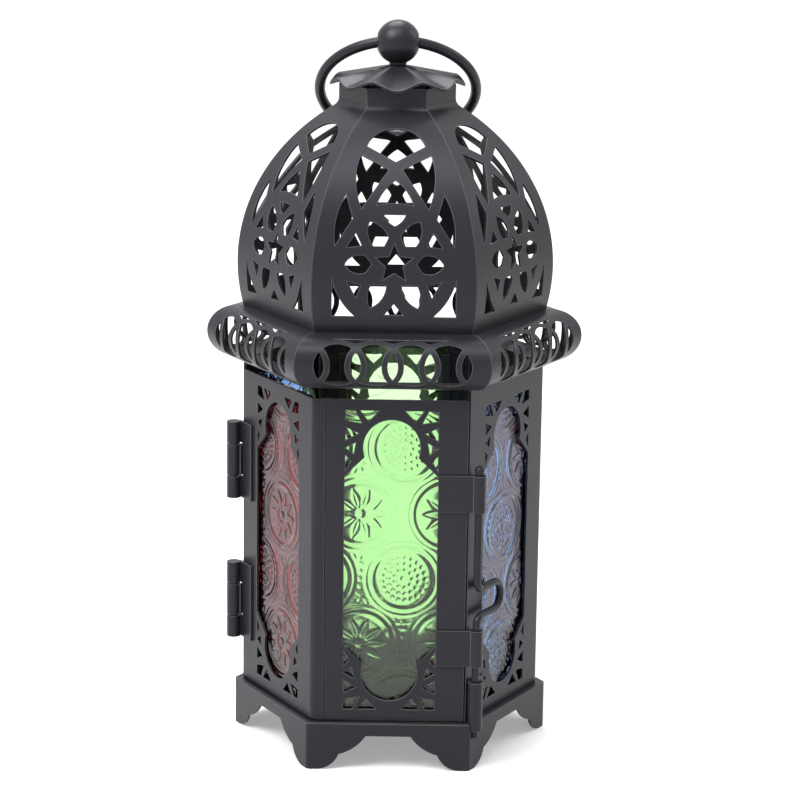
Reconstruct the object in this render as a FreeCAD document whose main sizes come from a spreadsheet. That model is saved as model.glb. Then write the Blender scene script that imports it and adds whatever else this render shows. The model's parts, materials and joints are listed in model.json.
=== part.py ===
# Hexagonal sheet-metal candle lantern with coloured glass panes: a scalloped base, four fixed walls,
# a door of two walls on a corner hinge with a drop-bolt latch, a pierced half-round rim, a pierced dome
# of six gores, a fluted cap and a ball finial that carries the hanging ring.
# Millimetres, +Z up, origin on the table under the middle of the base, the latch side towards -Y.

import FreeCAD, Part
import math
import os
import re
import Sketcher
from FreeCAD import Placement, Rotation, Vector

# Driving sizes

SIZES = {
    # sheet metal, joints between sheets
    "sheet": 0.8,
    "seam": 0.3,
    "fit_gap": 0.05,
    "bend_radius": 2.6,
    "corner_flange": 3.4,
    "seam_lap": 1.4,
    # scalloped base
    "skirt_stand": 2.6,
    "skirt_height": 14.5,
    "skirt_round": 1.6,
    "foot_flat": 2.7,
    "cusp_reach": 9.5,
    "cusp_height": 4.8,
    "arch_reach": 17.6,
    "arch_height": 10.6,
    "foot_lobe": 7.3,
    "arch_lobe": 13.8,
    # tealight cup and its rivet
    "cup_bore": 19.8,
    "cup_sheet": 0.6,
    "cup_height": 8.0,
    "rivet_radius": 1.6,
    "rivet_sunk_head": 2.4,
    "rivet_head": 3.2,
    "rivet_head_height": 0.8,
    # walls and door
    "wall_side": 46.0,
    "wall_height": 103.0,
    "door_drop": 3.8,
    "door_gap": 0.5,
    # window fretwork, cut in walls and door alike
    "window_width": 27.6,
    "window_head": 6.6,
    "window_rise": 3.4,
    "lobe_radius": 8.4,
    "lobe_end": 3.3,
    "cusp_depth": 14.6,
    "flare_depth": 20.4,
    # glass panes and the channels that hold them
    "holder_side": 0.2,
    "pane_thickness": 2.2,
    "pane_gap": 0.1,
    "pane_head_gap": 0.8,
    "holder_sheet": 0.6,
    "holder_lip": 2.0,
    "holder_rise": 1.5,
    "holder_drop": 2.7,
    # corner hinges of the door
    "pin_radius": 1.2,
    "pin_gap": 0.05,
    "knuckle_wall": 0.9,
    "leaf_sheet": 0.8,
    "leaf_start": 1.0,
    "leaf_width": 5.6,
    "hinge_low": 13.7,
    "hinge_drop": 44.5,
    "hinge_length": 24.2,
    "knuckle_end": 6.8,
    "knuckle_gap": 0.4,
    # drop bolt at the free edge of the door
    "rod_radius": 1.15,
    "rod_gap": 0.08,
    "keeper_gap": 0.35,
    "strap_wall": 0.8,
    "latch_setback": 0.34,
    "strap_reach": 9.2,
    "strap_height": 11.2,
    "strap_low": 17.9,
    "strap_high": 65.5,
    "keeper_leaf": 8.0,
    "keeper_low": 0.6,
    "keeper_length": 12.4,
    "keeper_drop": 2.2,
    "rod_drop": 4.6,
    "rod_bend": 2.6,
    "handle_low": 30.5,
    "handle_round": 4.2,
    "handle_reach": 10.3,
    "rod_head": 1.5,
    # half-round rim
    "rim_radius": 8.0,
    "rim_overhang": 1.7,
    "rim_lip": 2.8,
    "rim_eyes": 5,
    "eye_width": 3.0,
    "rim_band": 1.75,
    "slit_height": 1.5,
    # dome gores and neck
    "dome_foot": 0.1,
    "dome_radius": 58.4,
    "dome_axis_rise": 13.5,
    "gore_gap": 0.1,
    "neck_apothem": 15.2,
    "neck_fillet": 3.0,
    "neck_rise": 4.3,
    # cap, bridge, finial and ring
    "cap_radius": 20.3,
    "cap_ridge_inset": 1.1,
    "cap_rise": 5.6,
    "cap_wave": 2.2,
    "cap_flutes": 8,
    "cap_gap": 0.1,
    "bridge_width": 7.0,
    "bridge_sheet": 1.2,
    "bridge_drop": 2.6,
    "bridge_tab": 4.0,
    "stud_radius": 1.5,
    "stud_gap": 0.15,
    "nut_flats": 5.5,
    "nut_height": 2.4,
    "stud_end": 0.8,
    "stem_radius": 2.6,
    "ball_radius": 6.6,
    "ball_height": 6.62,
    "ring_radius": 23.8,
    "ring_wire": 1.6,
    "ring_hole": 2.25,
    "ring_seat": 0.4,
    "ring_gap": 0.3,
}

doc = FreeCAD.newDocument("candle_lantern")
sheet = doc.addObject("Spreadsheet::Sheet", "sizes")
for row, (alias, number) in enumerate(SIZES.items(), 1):
    sheet.set("A%d" % row, alias)
    sheet.set("B%d" % row, str(number))
    sheet.setAlias("B%d" % row, alias)
doc.recompute()

subparts = []


# Reading and binding sizes

def bound(text):
    return re.sub(r"[a-z_]+", lambda word: "sizes." + word[0] if word[0] in SIZES else word[0], text)


def value(text):
    return float(sheet.evalExpression(bound(text)))


def bind(target, **properties):
    for name, text in properties.items():
        target.setExpression(name, bound(text))


# Heights and distances that several pieces share, as formulas of the driving sizes

WALL = "(wall_side * sqrt(3) / 2)"
SKIRT_SIDE = "(wall_side + skirt_stand)"
WALL_TOP = "(skirt_height + wall_height)"
DOOR_FOOT = "(skirt_height + door_gap)"
DOOR_TOP = "(skirt_height + wall_height - door_drop)"
WINDOW_FOOT = "(skirt_height + window_rise)"
RIM_CENTRE = "(wall_side * sqrt(3) / 2 + rim_overhang)"
RIM_TOP = "(skirt_height + wall_height + 2 * rim_radius)"
DOME_FOOT = "(wall_side * sqrt(3) / 2 + dome_foot)"
AXIS_DEPTH = "(sqrt(dome_radius * dome_radius - dome_axis_rise * dome_axis_rise) - %s)" % DOME_FOOT
AXIS_Z = "(%s + dome_axis_rise)" % RIM_TOP
FILLET_REACH = "(neck_apothem + neck_fillet + %s)" % AXIS_DEPTH
FILLET_SPAN = "(dome_radius + neck_fillet)"
FILLET_RISE = "sqrt({0} * {0} - {1} * {1})".format(FILLET_SPAN, FILLET_REACH)
NECK_FOOT = "(%s + %s)" % (AXIS_Z, FILLET_RISE)
NECK_TOP = "(%s + neck_rise)" % NECK_FOOT
NECK_INSIDE = "(neck_apothem - sheet)"
NECK_CORNER = "(neck_apothem * 2 / sqrt(3))"
CAP_HOLE = "(stud_radius + stud_gap)"
CAP_SLOPE = "(cap_rise / (cap_radius - %s))" % CAP_HOLE
CAP_TOP = "(%s + cap_gap + sheet + %s * (%s - %s))" % (NECK_TOP, CAP_SLOPE, NECK_CORNER, CAP_HOLE)
BALL_Z = "(%s + ball_height)" % CAP_TOP
BRIDGE_TOP = "(%s - bridge_drop)" % NECK_TOP
KNUCKLE = "(pin_radius + pin_gap + knuckle_wall)"
HINGE_STAND = "(%s + leaf_sheet / 2)" % KNUCKLE
HINGE_X = "(wall_side / 2 + %s / sqrt(3))" % HINGE_STAND
HINGE_Y = "(%s + %s)" % (WALL, HINGE_STAND)
STRAP_BORE = "(rod_radius + rod_gap)"
KEEPER_BORE = "(rod_radius + keeper_gap)"
LATCH_FRONT = "(%s - latch_setback)" % WALL
LATCH_RIGHT = "(%s + %s + strap_wall + fit_gap)" % (WALL, KEEPER_BORE)
LATCH_X = "((%s - %s / 2) * 2 / sqrt(3))" % (LATCH_RIGHT, LATCH_FRONT)
LATCH_ALONG = "((%s - 2 * %s) / sqrt(3))" % (LATCH_RIGHT, LATCH_FRONT)


# Sketches, bodies and booleans

def new_body(name):
    return doc.addObject("PartDesign::Body", name)


def origin_feature(body, role):
    return next(item for item in body.Origin.OriginFeatures if item.Role == role)


def new_sketch(body, role, name, lift="0"):
    sketch = body.newObject("Sketcher::SketchObject", name)
    sketch.AttachmentSupport = [(origin_feature(body, role), "")]
    sketch.MapMode = "FlatFace"
    sketch.setExpression("AttachmentOffset.Base.z", bound(lift))
    return sketch


def pin_point(sketch, edge, end, corner):
    for kind, text in zip(("DistanceX", "DistanceY"), corner):
        number = sketch.addConstraint(Sketcher.Constraint(kind, edge, end, value(text)))
        sketch.setExpression("Constraints[%d]" % number, bound(text))


def pin_radius(sketch, edge, text):
    number = sketch.addConstraint(Sketcher.Constraint("Radius", edge, value(text)))
    sketch.setExpression("Constraints[%d]" % number, bound(text))


def arc_between(start, end, radius, leftward):
    chord = end - start
    side = Vector(-chord.y, chord.x, 0).normalize()
    rise = math.sqrt(radius ** 2 - (chord.Length / 2) ** 2)
    centre = (start + end) / 2 + side * (rise if leftward else -rise)
    first, last = (start, end) if leftward else (end, start)
    circle = Part.Circle(centre, Vector(0, 0, 1), radius)
    return Part.ArcOfCircle(circle, circle.parameter(first), circle.parameter(last))


def outline(sketch, corners, left_arcs=None, right_arcs=None, closed=True):
    # each corner is held by two bound coordinates, and an arc turns left or right of the way round
    left_arcs = left_arcs or {}
    right_arcs = right_arcs or {}
    points = [Vector(value(x), value(y), 0) for x, y in corners]
    count = len(points)
    ends = []
    for step in range(count if closed else count - 1):
        start = points[step]
        end = points[(step + 1) % count]
        radius = left_arcs.get(step) or right_arcs.get(step)
        if radius:
            edge = sketch.addGeometry(arc_between(start, end, value(radius), step in left_arcs))
            pin_radius(sketch, edge, radius)
        else:
            edge = sketch.addGeometry(Part.LineSegment(start, end))
        ends.append((edge, 2, 1) if step in right_arcs else (edge, 1, 2))
    for step, (edge, first, last) in enumerate(ends):
        pin_point(sketch, edge, first, corners[step])
        if closed or step + 1 < len(ends):
            following = ends[(step + 1) % len(ends)]
            sketch.addConstraint(Sketcher.Constraint("Coincident", edge, last, following[0], following[1]))
        else:
            pin_point(sketch, edge, last, corners[step + 1])


def circle(sketch, x, y, radius):
    centre = Vector(value(x), value(y), 0)
    edge = sketch.addGeometry(Part.Circle(centre, Vector(0, 0, 1), value(radius)))
    pin_point(sketch, edge, 3, (x, y))
    pin_radius(sketch, edge, radius)


def pad(body, sketch, length, side="One side", reverse=False):
    feature = body.newObject("PartDesign::Pad", sketch.Name + "_pad")
    feature.Profile = sketch
    feature.SideType = side
    feature.Reversed = reverse
    bind(feature, Length=length)
    return feature


def revolve(body, sketch):
    feature = body.newObject("PartDesign::Revolution", sketch.Name + "_turn")
    feature.Profile = sketch
    feature.ReferenceAxis = (sketch, ["V_Axis"])
    feature.Angle = 360
    return feature


def box(name, low, size):
    item = doc.addObject("Part::Box", name)
    for axis, text in zip("xyz", low):
        item.setExpression("Placement.Base." + axis, bound(text))
    bind(item, Length=size[0], Width=size[1], Height=size[2])
    return item


def cylinder(name, base, radius, height):
    item = doc.addObject("Part::Cylinder", name)
    for axis, text in zip("xyz", base):
        item.setExpression("Placement.Base." + axis, bound(text))
    bind(item, Radius=radius, Height=height)
    return item


def fuse(name, items):
    joined = doc.addObject("Part::MultiFuse", name)
    joined.Shapes = items
    return joined


def cut(name, base, tool):
    result = doc.addObject("Part::Cut", name)
    result.Base = base
    result.Tool = tool
    return result


def common(name, base, tool):
    result = doc.addObject("Part::Common", name)
    result.Base = base
    result.Tool = tool
    return result


def feature(name, shape):
    item = doc.addObject("Part::Feature", name)
    item.Shape = shape
    return item


def about_z(degrees):
    return Placement(Vector(), Rotation(Vector(0, 0, 1), degrees))


def finish(item, label, turn=0):
    item.Label = label
    if turn:
        item.Placement = about_z(turn)
    subparts.append(item)
    return item


def copy_round(master, labels):
    # one labelled copy of the front piece on each side named, turned about the lantern's axis
    for label, turn in labels.items():
        item = doc.addObject("Part::Compound", label + "_copy")
        item.Links = [master]
        finish(item, label, turn)


def hexagon(side):
    half = "(%s) / 2" % side
    high = "(%s) * sqrt(3) / 2" % side
    return [
        (side, "0"), (half, high), ("-" + half, high),
        ("-(%s)" % side, "0"), ("-" + half, "-" + high), (half, "-" + high),
    ]


def rounded_hexagon(sketch, side, radius):
    # each corner is an arc between the two points where it meets the straight sides
    half = "(%s) / 2" % side
    high = "(%s) * sqrt(3) / 2" % side
    near = "(%s) / sqrt(12)" % radius
    rise = "(%s) / 2" % radius
    wide = half + " + " + near
    inner = "%s - %s * 2" % (half, near)
    lower = "%s - %s" % (high, rise)
    tip = "(%s) - %s" % (side, near)
    outline(sketch, [
        (tip, "-(%s)" % rise), (tip, rise), (wide, lower), (inner, high),
        ("-(%s)" % inner, high), ("-(%s)" % wide, lower), ("-(%s)" % tip, rise), ("-(%s)" % tip, "-(%s)" % rise),
        ("-(%s)" % wide, "-(%s)" % lower), ("-(%s)" % inner, "-(%s)" % high), (inner, "-(%s)" % high),
        (wide, "-(%s)" % lower),
    ], left_arcs={corner: radius for corner in range(0, 12, 2)})


# The six sides in order round the hexagon, each by the turn that takes the front side there
SIDE_NAMES = ("front", "right", "back_right", "back", "back_left", "left")
SIDES = {side: 360 / len(SIDE_NAMES) * place for place, side in enumerate(SIDE_NAMES)}


# Piercing: closed outlines of corners, with the middle point of each arc between its two corners

class Via(tuple):
    pass


def mirrored(shape):
    return [type(point)((-point[0], point[1])) for point in shape]


def pierced_face(shape, place):
    edges = []
    points = list(shape) + [shape[0]]
    start = place(*points[0])
    middle = None
    for point in points[1:]:
        if isinstance(point, Via):
            middle = place(*point)
            continue
        end = place(*point)
        if middle is None:
            edges.append(Part.LineSegment(start, end).toShape())
        else:
            edges.append(Part.Arc(start, middle, end).toShape())
        start = end
        middle = None
    return Part.Face(Part.Wire(edges))


def round_cutter(shape, axis_apothem, axis_z, radius, angle_at_zero, reach):
    # a prism square to a round sheet at the middle of the shape, given along and round the sheet
    along_round = [point[1] for point in shape]
    middle = (min(along_round) + max(along_round)) / 2
    angle = angle_at_zero + middle / radius
    outward = Vector(0, -math.cos(angle), math.sin(angle))
    upward = Vector(0, math.sin(angle), math.cos(angle))
    base = Vector(0, -axis_apothem, axis_z) + outward * (radius - reach)

    def place(x, s):
        return base + Vector(x, 0, 0) + upward * (radius * math.sin((s - middle) / radius))

    return pierced_face(shape, place).extrude(outward * (reach + value("sheet")))


# Scalloped base, notched beside one corner for the latch keeper and the tip of its rod

def keeper_notch(name):
    foot = "skirt_height - keeper_drop - fit_gap"
    seat = cylinder(name + "_seat", (LATCH_X, "-" + LATCH_FRONT, foot), "%s + strap_wall + fit_gap" % KEEPER_BORE,
                    "keeper_drop + keeper_length")
    tip = "skirt_height - rod_drop - fit_gap"
    bore = cylinder(name + "_bore", (LATCH_X, "-" + LATCH_FRONT, tip), KEEPER_BORE, "rod_drop")
    return fuse(name, [seat, bore])


def base_skirt():
    body = new_body("skirt_band")
    ring = new_sketch(body, "XY_Plane", "skirt_ring")
    rounded_hexagon(ring, SKIRT_SIDE, "skirt_round")
    rounded_hexagon(ring, "%s - sheet * 2 / sqrt(3)" % SKIRT_SIDE, "(skirt_round - sheet)")
    pad(body, ring, "skirt_height")
    scallop = new_sketch(body, "XZ_Plane", "skirt_scallop")
    foot = "(%s / 2 - foot_flat)" % SKIRT_SIDE
    cusp = "(%s / 2 - cusp_reach)" % SKIRT_SIDE
    arch = "(%s / 2 - arch_reach)" % SKIRT_SIDE
    corners = [
        ("-" + foot, "0"), (foot, "0"), (cusp, "cusp_height"), (arch, "arch_height"),
        ("-" + arch, "arch_height"), ("-" + cusp, "cusp_height"),
    ]
    lobes = {1: "foot_lobe", 2: "arch_lobe", 4: "arch_lobe", 5: "foot_lobe"}
    outline(scallop, corners, right_arcs=lobes)
    arches = body.newObject("PartDesign::Pocket", "skirt_arches")
    arches.Profile = scallop
    arches.SideType = "Symmetric"
    arches.Type = "ThroughAll"
    around = body.newObject("PartDesign::PolarPattern", "skirt_arches_round")
    around.Originals = [arches]
    around.Axis = (origin_feature(body, "Z_Axis"), [""])
    around.Angle = 120
    around.Occurrences = 3
    body.Tip = around
    finish(cut("base_skirt_cut", body, keeper_notch("skirt_notch")), "base_skirt")


def floor_plate():
    body = new_body("floor_sheet")
    plate = new_sketch(body, "XY_Plane", "floor_outline", "skirt_height - sheet")
    rounded_hexagon(plate, "%s - (sheet + fit_gap) * 2 / sqrt(3)" % SKIRT_SIDE, "(skirt_round - sheet - fit_gap)")
    circle(plate, "0", "0", "rivet_radius + fit_gap")
    pad(body, plate, "sheet")
    finish(cut("floor_plate_cut", body, keeper_notch("floor_notch")), "floor_plate")


def candle_cup():
    body = new_body("candle_cup")
    profile = new_sketch(body, "XZ_Plane", "cup_profile")
    hole = "rivet_radius + fit_gap"
    wall = "cup_bore + cup_sheet"
    outline(profile, [
        (hole, "skirt_height"), (wall, "skirt_height"), (wall, "skirt_height + cup_height"),
        ("cup_bore", "skirt_height + cup_height"), ("cup_bore", "skirt_height + cup_sheet"),
        ("rivet_sunk_head + fit_gap", "skirt_height + cup_sheet"),
    ])
    revolve(body, profile)
    finish(body, "candle_cup")


def cup_rivet():
    body = new_body("cup_rivet")
    profile = new_sketch(body, "XZ_Plane", "rivet_profile")
    under = "skirt_height - sheet"
    over = "skirt_height + cup_sheet"
    outline(profile, [
        ("0", under + " - rivet_head_height"), ("rivet_head", under + " - rivet_head_height"),
        ("rivet_head", under), ("rivet_radius", under), ("rivet_radius", "skirt_height"),
        ("rivet_sunk_head", over), ("0", over),
    ])
    revolve(body, profile)
    finish(body, "cup_rivet")


# Walls and door panels

# fretwork beside a lobe of the window: distance from the middle line and from the window's end, drawn
# for a window of this half width and depth of flare
FRET_DRAWN = (13.8, 20.4)
FRET_BARS = [
    [(3.9, 0.6), (9.4, 0.5), (6.9, 3.8)],
    [(10.9, 0.5), (13.6, 0.5), (13.6, 3.6), (8.9, 4.4)],
    [(9.8, 7.4), (13.6, 5.6), (13.6, 9.5)],
    [(10.6, 10.2), (13.6, 11.9), (11.2, 13.6)],
    [(12.0, 15.8), (13.6, 14.2), (13.6, 18.6)],
]


def window_fret():
    # the lobed window with its corner fretwork, as one cutter for the front side
    half = value("window_width / 2")
    low = value(WINDOW_FOOT)
    high = value("%s - window_head" % WALL_TOP)
    lobe_fall = value("cusp_depth - lobe_end - lobe_radius")
    cusp = math.sqrt(value("lobe_radius") ** 2 - lobe_fall ** 2)
    cusp_depth = value("cusp_depth")
    lobe_end = value("lobe_end")
    flare = value("flare_depth")
    wide = half / FRET_DRAWN[0]
    deep = flare / FRET_DRAWN[1]
    opening = [
        (half, high - flare), (cusp, high - cusp_depth), Via((0, high - lobe_end)), (-cusp, high - cusp_depth),
        (-half, high - flare), (-half, low + flare), (-cusp, low + cusp_depth), Via((0, low + lobe_end)),
        (cusp, low + cusp_depth), (half, low + flare),
    ]
    shapes = [opening]
    for bar in FRET_BARS:
        for end, way in ((high, -1), (low, 1)):
            corner = [(x * wide, end + way * depth * deep) for x, depth in bar]
            shapes += [corner, mirrored(corner)]
    outside = -value(WALL) - value("sheet")

    def place(x, z):
        return Vector(x, outside, z)

    through = Vector(0, 3 * value("sheet"), 0)
    return feature("window_fret", Part.makeCompound([pierced_face(s, place).extrude(through) for s in shapes]))


def wall(label, fret, side, left, right, foot, top):
    # left and right are the ends seen from outside: butted to a folded flange with a strip behind the seam,
    # mitred, or folded round
    body = new_body(label + "_blank")
    section = new_sketch(body, "XY_Plane", label + "_section", foot)
    face = "-%s" % WALL
    back = "-(%s - sheet)" % WALL
    half = "wall_side / 2"
    if left == "butted":
        start = "-%s + corner_flange + seam" % half
        lap_front = "-(%s - sheet - fit_gap)" % WALL
        lap_back = "-(%s - 2 * sheet)" % WALL
        closing = [(start + " + seam_lap", back), (start + " + seam_lap", lap_back), (start + " - seam_lap", lap_back),
                   (start + " - seam_lap", lap_front), (start, lap_front)]
    else:
        start = "-%s + %s" % (half, left)
        closing = [("%s + sheet / sqrt(3)" % start, back)]
    if right == "folded":
        bend = "%s - bend_radius / sqrt(3)" % half
        bend_end = "bend_radius / sqrt(3)"
        flange_x = "%s + corner_flange / 2" % half
        flange_y = "corner_flange * sqrt(3) / 2 - %s" % WALL
        inner = "(bend_radius - sheet) / sqrt(3)"
        corners = [
            (start, face), (bend, face),
            ("%s + %s / 2" % (half, bend_end), "%s * sqrt(3) / 2 - %s" % (bend_end, WALL)),
            (flange_x, flange_y),
            ("%s - sheet * sqrt(3) / 2" % flange_x, "%s + sheet / 2" % flange_y),
            ("%s - sheet / sqrt(3) + %s / 2" % (half, inner), "%s * sqrt(3) / 2 + sheet - %s" % (inner, WALL)),
            (bend, back),
        ] + closing
        outline(section, corners, left_arcs={1: "bend_radius"}, right_arcs={5: "bend_radius - sheet"})
    else:
        end = "%s - %s" % (half, right)
        outline(section, [(start, face), (end, face), (end + " - sheet / sqrt(3)", back)] + closing)
    pad(body, section, "%s - %s" % (top, foot))
    finish(cut(label + "_cut", body, fret), label, SIDES[side])


def walls_and_door():
    fret = window_fret()
    fixed = ("skirt_height", WALL_TOP)
    swung = (DOOR_FOOT, DOOR_TOP)
    wall("wall_right", fret, "right", "0", "folded", *fixed)
    wall("wall_back_right", fret, "back_right", "butted", "folded", *fixed)
    wall("wall_back", fret, "back", "butted", "folded", *fixed)
    wall("wall_back_left", fret, "back_left", "butted", "0", *fixed)
    wall("door_side_panel", fret, "left", "door_gap", "folded", *swung)
    wall("door_front_panel", fret, "front", "butted", "door_gap", *swung)


# Glass panes and their channels

HOLDER_FOOT = "(skirt_height + holder_rise)"
HOLDER_TOP = "(%s - holder_drop)" % DOOR_TOP
HOLDER_HALF = "(wall_side / 2 - corner_flange - seam - seam_lap - holder_side)"
PANE_HALF = "(%s - holder_sheet - pane_gap)" % HOLDER_HALF
PANE_POCKET = "(pane_thickness + 2 * pane_gap)"


def panes():
    front = box(
        "pane_master",
        ("-" + PANE_HALF, "-(%s - sheet - pane_gap)" % WALL, "%s + holder_sheet + pane_gap" % HOLDER_FOOT),
        ("2 * " + PANE_HALF, "pane_thickness",
         "%s - pane_head_gap - %s - holder_sheet - pane_gap" % (DOOR_TOP, HOLDER_FOOT)),
    )
    copy_round(front, {"pane_" + side: turn for side, turn in SIDES.items()})


def pane_holders():
    body = new_body("pane_holder_master")
    channel = new_sketch(body, "XZ_Plane", "holder_channel", "%s - sheet" % WALL)
    inside = "(%s - holder_lip)" % PANE_HALF
    shelf = "%s + holder_sheet + pane_gap + holder_lip" % HOLDER_FOOT
    outline(channel, [
        ("-" + HOLDER_HALF, HOLDER_FOOT), (HOLDER_HALF, HOLDER_FOOT), (HOLDER_HALF, HOLDER_TOP),
        (inside, HOLDER_TOP), (inside, shelf), ("-" + inside, shelf), ("-" + inside, HOLDER_TOP),
        ("-" + HOLDER_HALF, HOLDER_TOP),
    ])
    pad(body, channel, "%s + holder_sheet" % PANE_POCKET, reverse=True)
    slot = new_sketch(body, "XZ_Plane", "holder_slot", "%s - sheet" % WALL)
    bed = "(%s + pane_gap)" % PANE_HALF
    low = "%s + holder_sheet" % HOLDER_FOOT
    high = "%s + holder_sheet" % HOLDER_TOP
    outline(slot, [("-" + bed, low), (bed, low), (bed, high), ("-" + bed, high)])
    pocket = body.newObject("PartDesign::Pocket", "holder_slot_pocket")
    pocket.Profile = slot
    bind(pocket, Length=PANE_POCKET)
    copy_round(body, {"pane_holder_" + side: turn for side, turn in SIDES.items()})


# Corner hinges

def hinge_leaf(label, side, hand, foot, knuckles):
    # hand is -1 for a leaf at its wall's left end, 1 at its right end, seen from outside
    sign = "" if hand > 0 else "-"
    pin_x = sign + HINGE_X
    near = "(wall_side / 2 - leaf_start)"
    far = "(wall_side / 2 - leaf_start - leaf_width)"
    outside = "-%s - leaf_sheet" % WALL
    plate_x = far if hand > 0 else "-" + near
    tongue_x = near if hand > 0 else "-" + HINGE_X
    tongue_length = "%s - %s" % (HINGE_X, near)
    solids = [box(label + "_plate", (plate_x, outside, foot), ("leaf_width", "leaf_sheet", "hinge_length"))]
    for number, (low, length) in enumerate(knuckles, 1):
        level = "%s + %s" % (foot, low)
        solids.append(box("%s_tongue_%d" % (label, number), (tongue_x, outside, level),
                          (tongue_length, "leaf_sheet", length)))
        solids.append(cylinder("%s_knuckle_%d" % (label, number), (pin_x, "-" + HINGE_Y, level),
                               KNUCKLE, length))
    bore = cylinder(label + "_bore", (pin_x, "-" + HINGE_Y, foot), "pin_radius + pin_gap", "hinge_length")
    finish(cut(label + "_cut", fuse(label + "_solid", solids), bore), label, SIDES[side])


def hinges():
    middle = "(hinge_length - 2 * knuckle_end - 2 * knuckle_gap)"
    for place, foot in (("lower", "skirt_height + hinge_low"), ("upper", "%s - hinge_drop" % WALL_TOP)):
        ends = [("0", "knuckle_end"), ("hinge_length - knuckle_end", "knuckle_end")]
        hinge_leaf("hinge_leaf_door_" + place, "left", -1, foot, ends)
        hinge_leaf("hinge_leaf_wall_" + place, "back_left", 1, foot, [("knuckle_end + knuckle_gap", middle)])
        pin_x = "-2 * %s" % HINGE_X
        finish(cylinder("hinge_pin_body_" + place, (pin_x, "0", foot), "pin_radius", "hinge_length"),
               "hinge_pin_" + place)


# Drop-bolt latch

def latch_strap(label, rise):
    level = "skirt_height + %s" % rise
    start = "(wall_side / 2 - strap_reach)"
    front = "-" + LATCH_FRONT
    plate = box(label + "_plate", (start, "-%s - leaf_sheet" % WALL, level),
                ("%s - %s" % (LATCH_X, start), "leaf_sheet", "strap_height"))
    eye = cylinder(label + "_eye", (LATCH_X, front, level), "%s + strap_wall" % STRAP_BORE, "strap_height")
    bore = cylinder(label + "_bore", (LATCH_X, front, level), STRAP_BORE, "strap_height")
    finish(cut(label + "_cut", fuse(label + "_solid", [plate, eye]), bore), label)


def latch_keeper():
    axis = (LATCH_ALONG, "-" + LATCH_RIGHT, "skirt_height - keeper_drop")
    length = "keeper_drop + keeper_low + keeper_length"
    plate = box("keeper_plate", (LATCH_ALONG, "-%s - leaf_sheet" % WALL, "skirt_height + keeper_low"),
                ("keeper_leaf", "leaf_sheet", "keeper_length"))
    tube = cylinder("keeper_tube", axis, "%s + strap_wall" % KEEPER_BORE, length)
    bore = cylinder("keeper_hole", axis, KEEPER_BORE, length)
    finish(cut("keeper_cut", fuse("keeper_solid", [plate, tube]), bore), "latch_keeper", SIDES["right"])


def latch_rod():
    body = new_body("latch_rod_wire")
    tip = "skirt_height - rod_drop"
    start = new_sketch(body, "XY_Plane", "rod_section", tip)
    circle(start, "0", "0", "rod_radius")
    route = new_sketch(body, "XZ_Plane", "rod_route")
    low = "skirt_height + handle_low"
    lower_arm = low + " + rod_bend"
    upper_arm = lower_arm + " + 2 * handle_round"
    top = upper_arm + " + rod_bend"
    head = "skirt_height + strap_high + strap_height + rod_head"
    outline(route, [
        ("0", tip), ("0", low), ("rod_bend", lower_arm), ("handle_reach", lower_arm),
        ("handle_reach + handle_round", lower_arm + " + handle_round"), ("handle_reach", upper_arm),
        ("rod_bend", upper_arm), ("0", top), ("0", head),
    ], left_arcs={3: "handle_round", 4: "handle_round"}, right_arcs={1: "rod_bend", 6: "rod_bend"}, closed=False)
    pipe = body.newObject("PartDesign::AdditivePipe", "rod_pipe")
    pipe.Profile = start
    pipe.Spine = route
    knob = doc.addObject("Part::Sphere", "rod_knob")
    bind(knob, Radius="rod_head")
    knob.setExpression("Placement.Base.z", bound(head))
    rod = fuse("latch_rod_fused", [body, knob])
    rod.Placement = Placement(Vector(value(LATCH_X), -value(LATCH_FRONT), 0),
                              Rotation(Vector(0, 0, 1), SIDES["right"]))
    finish(rod, "latch_rod")


# Rim and dome, one pierced side of each copied round

def front_sector():
    # the sixth of the lantern behind the front side, less half of the gap between two sides
    body = new_body("front_sector")
    wedge = new_sketch(body, "XY_Plane", "sector_wedge")
    far = "(%s + 2 * rim_radius)" % RIM_CENTRE
    apex = "gore_gap"
    across = "((%s - %s) / sqrt(3))" % (far, apex)
    outline(wedge, [("0", "-" + apex), ("-" + across, "-" + far), (across, "-" + far)])
    pad(body, wedge, "%s + 2 * rim_radius" % NECK_TOP)
    return body


def rim_piercing():
    eyes = int(value("rim_eyes"))
    pitch = value("wall_side") / (eyes - 0.7)
    inner = (pitch + value("eye_width")) / 2
    outer = inner + value("rim_band")
    eye_tip = math.sqrt(inner ** 2 - (pitch / 2) ** 2)
    horn_x = (pitch ** 2 + inner ** 2 - outer ** 2) / (2 * pitch)
    horn_s = math.sqrt(inner ** 2 - horn_x ** 2)
    slit_low = math.sqrt(outer ** 2 - (pitch / 2) ** 2) + value("rim_band") / 3
    slit_high = slit_low + value("slit_height")
    slit_half = pitch / 2 - math.sqrt(max(outer ** 2 - slit_high ** 2, 0)) - value("rim_band") / 2
    half_eye = value("eye_width") / 2
    shapes = []
    for number in range(eyes):
        x = (number - (eyes - 1) / 2) * pitch
        shapes.append([(x, -eye_tip), Via((x + half_eye, 0)), (x, eye_tip), Via((x - half_eye, 0))])
        if 0 < number < eyes - 1:
            for way in (1, -1):
                shapes.append([(x, way * slit_low), (x + slit_half, way * slit_high),
                               (x - slit_half, way * slit_high)])
        if number < eyes - 1:
            x += pitch / 2
            waist = pitch - outer
            shapes.append([
                (x + horn_x, -horn_s), Via((x + waist, 0)), (x + horn_x, horn_s), Via((x, inner)),
                (x - horn_x, horn_s), Via((x - waist, 0)), (x - horn_x, -horn_s), Via((x, -inner)),
            ])
    axis_z = value("%s + rim_radius" % WALL_TOP)
    radius = value("rim_radius")
    cutters = [round_cutter(s, value(RIM_CENTRE), axis_z, radius, 0, radius * 3 / 4) for s in shapes]
    return feature("rim_piercing", Part.makeCompound(cutters))


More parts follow.
